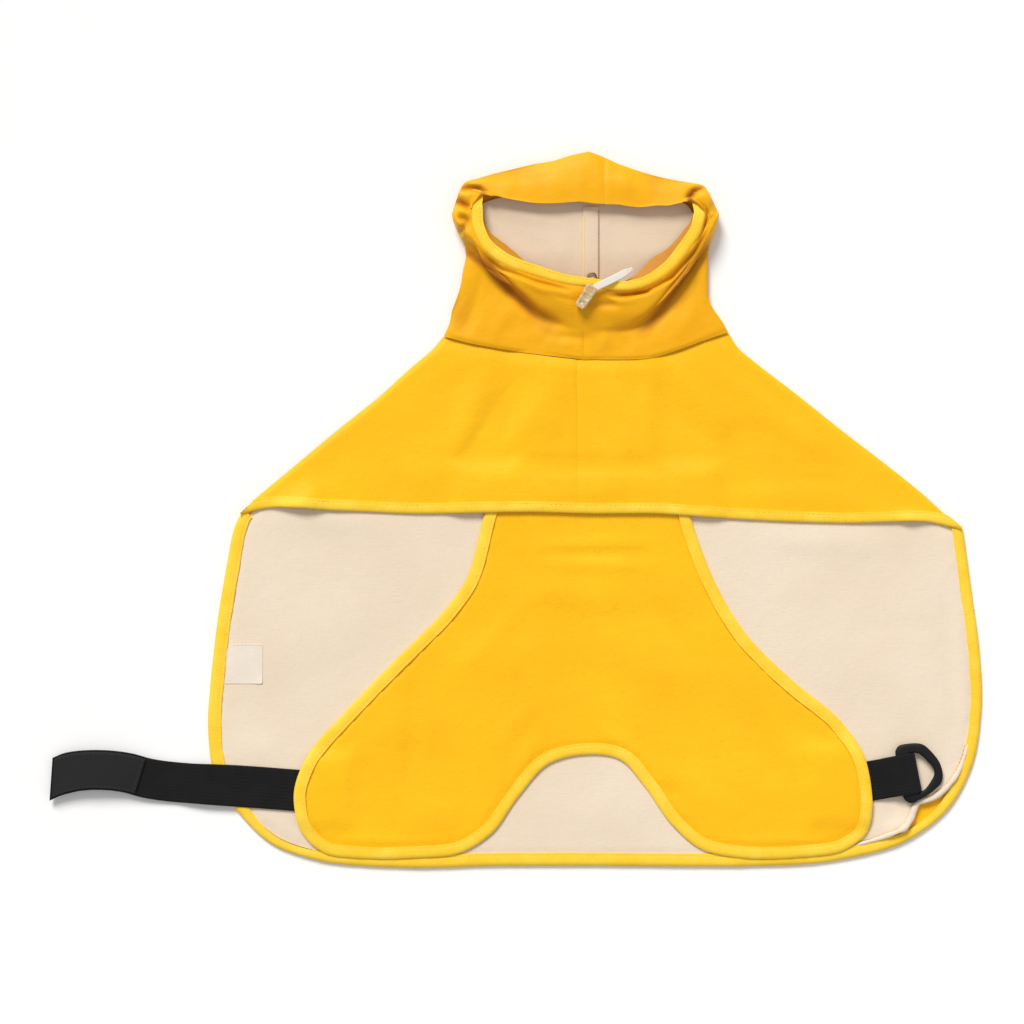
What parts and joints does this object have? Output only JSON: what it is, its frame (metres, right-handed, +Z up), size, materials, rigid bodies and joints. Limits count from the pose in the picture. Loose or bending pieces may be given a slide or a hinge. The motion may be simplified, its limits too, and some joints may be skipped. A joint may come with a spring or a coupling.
{
  "type": "dog raincoat",
  "caption": "Hooded raincoat for a small dog, laid flat on its back: lined back, bound belly panel, face opening with drawcord, clear visor, webbing belt with loop and label.",
  "frame": {"origin": "on the surface the coat lies on, under the middle of the chest's lower edge", "axes": "+Y along the back towards the hood, +Z up out of the surface, +X across the coat towards the belt loop; the coat lies on its back with its belly side up"},
  "size_m": [0.5893, 0.4495, 0.022],
  "materials": {
    "yellow_cloth": "matt coated woven cloth",
    "yellow_tape": "matt woven tape",
    "cream_lining": "matt woven lining",
    "black_webbing": "matt ribbed webbing",
    "hook_tape": "matt hook tape",
    "black_plastic": "satin moulded",
    "clear_film": "clear glossy film",
    "clear_plastic": "translucent moulded",
    "white_elastic": "matt braided elastic",
    "white_label": "satin woven label, blank",
    "eyelet_metal": "worn metal"
  },
  "bodies": {
    "root": {"back_outer": "yellow_cloth", "back_lining": "cream_lining", "back_binding": "yellow_tape", "belly_panel": "yellow_cloth", "belly_binding": "yellow_tape", "chest_left": "yellow_cloth", "chest_right": "yellow_cloth", "chest_binding": "yellow_tape", "hood_left": "yellow_cloth", "hood_right": "yellow_cloth", "hood_lining": "cream_lining", "hood_seam_tape": "cream_lining", "hood_rim_binding": "yellow_tape", "hood_rim_facing": "yellow_cloth", "cord_eyelet": "eyelet_metal", "drawcord": "white_elastic", "cord_stopper": "clear_plastic", "visor": "clear_film", "visor_binding": "yellow_tape", "leash_flap": "yellow_cloth", "leash_flap_binding": "yellow_tape", "long_strap": "black_webbing", "hook_patch": "hook_tape", "short_strap": "black_webbing", "belt_loop": "black_plastic", "care_label": "white_label"}
  },
  "joints": []
}
